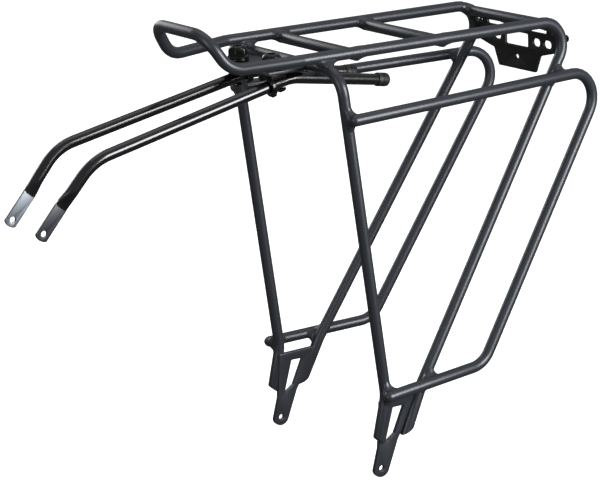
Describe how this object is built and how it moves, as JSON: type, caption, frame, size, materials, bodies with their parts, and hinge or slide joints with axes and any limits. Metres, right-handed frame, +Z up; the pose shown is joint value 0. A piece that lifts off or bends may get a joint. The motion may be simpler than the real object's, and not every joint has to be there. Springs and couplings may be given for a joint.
{
  "type": "bicycle rear rack",
  "caption": "Bicycle rear carrier: a welded round-tube deck on splayed legs with side loops, a light plate, and adjustable stays held in swivelling clamps.",
  "frame": {"origin": "midway between the two eyelet holes at the feet of the frame", "axes": "+X towards the rear of the bicycle, -Y to its left side, +Z up"},
  "size_m": [0.5575, 0.2118, 0.4186],
  "materials": {
    "frame_coat": "satin black powder coat over aluminium",
    "matt_plate": "matt black coat",
    "gloss_coat": "gloss black coat",
    "bare_alloy": "satin bare alloy",
    "black_hardware": "gloss black",
    "cap_rubber": "black rubber"
  },
  "bodies": {
    "frame": {"front_hoop": "frame_coat", "left_side_rail": "frame_coat", "right_side_rail": "frame_coat", "left_rear_leg": "frame_coat", "right_rear_leg": "frame_coat", "front_arch": "frame_coat", "left_front_leg": "frame_coat", "right_front_leg": "frame_coat", "front_crossbar": "frame_coat", "middle_crossbar": "frame_coat", "rear_crossbar": "frame_coat", "left_loop_top_rail": "frame_coat", "right_loop_top_rail": "frame_coat", "left_loop_drop": "frame_coat", "right_loop_drop": "frame_coat", "left_loop_low_rail": "frame_coat", "right_loop_low_rail": "frame_coat", "left_dropout_plate": "frame_coat", "right_dropout_plate": "frame_coat", "stay_bracket": "frame_coat", "light_plate": "matt_plate", "left_rear_bolt": "black_hardware", "right_rear_bolt": "black_hardware"},
    "left_clamp_top": {"left_clamp_washer": "black_hardware", "left_clamp_nut": "black_hardware"},
    "left_clamp_hook": {"left_clamp_hook": "black_hardware"},
    "left_stay": {"left_stay": "gloss_coat", "left_stay_tab": "bare_alloy", "left_stay_cap": "cap_rubber"},
    "right_clamp_top": {"right_clamp_washer": "black_hardware", "right_clamp_nut": "black_hardware"},
    "right_clamp_hook": {"right_clamp_hook": "black_hardware"},
    "right_stay": {"right_stay": "gloss_coat", "right_stay_tab": "bare_alloy", "right_stay_cap": "cap_rubber"}
  },
  "joints": [
    {"name": "left_clamp_shift", "type": "slide", "parent": "frame", "child": "left_clamp_top", "axis": [0, -1, 0], "range_m": [-0.006, 0.006]},
    {"name": "left_clamp_swivel", "type": "hinge", "parent": "left_clamp_top", "child": "left_clamp_hook", "pos_m": [-0.062, -0.028, 0.365], "axis": [0, 0, 1], "range_deg": [-5, 5]},
    {"name": "left_stay_slide", "type": "slide", "parent": "left_clamp_hook", "child": "left_stay", "axis": [0.9781, 0.027, 0.2064], "range_m": [-0.006, 0.006]},
    {"name": "right_clamp_shift", "type": "slide", "parent": "frame", "child": "right_clamp_top", "axis": [0, 1, 0], "range_m": [-0.006, 0.006]},
    {"name": "right_clamp_swivel", "type": "hinge", "parent": "right_clamp_top", "child": "right_clamp_hook", "pos_m": [-0.062, 0.028, 0.365], "axis": [0, 0, 1], "range_deg": [-5, 5]},
    {"name": "right_stay_slide", "type": "slide", "parent": "right_clamp_hook", "child": "right_stay", "axis": [0.9781, -0.027, 0.2064], "range_m": [-0.006, 0.006]}
  ]
}
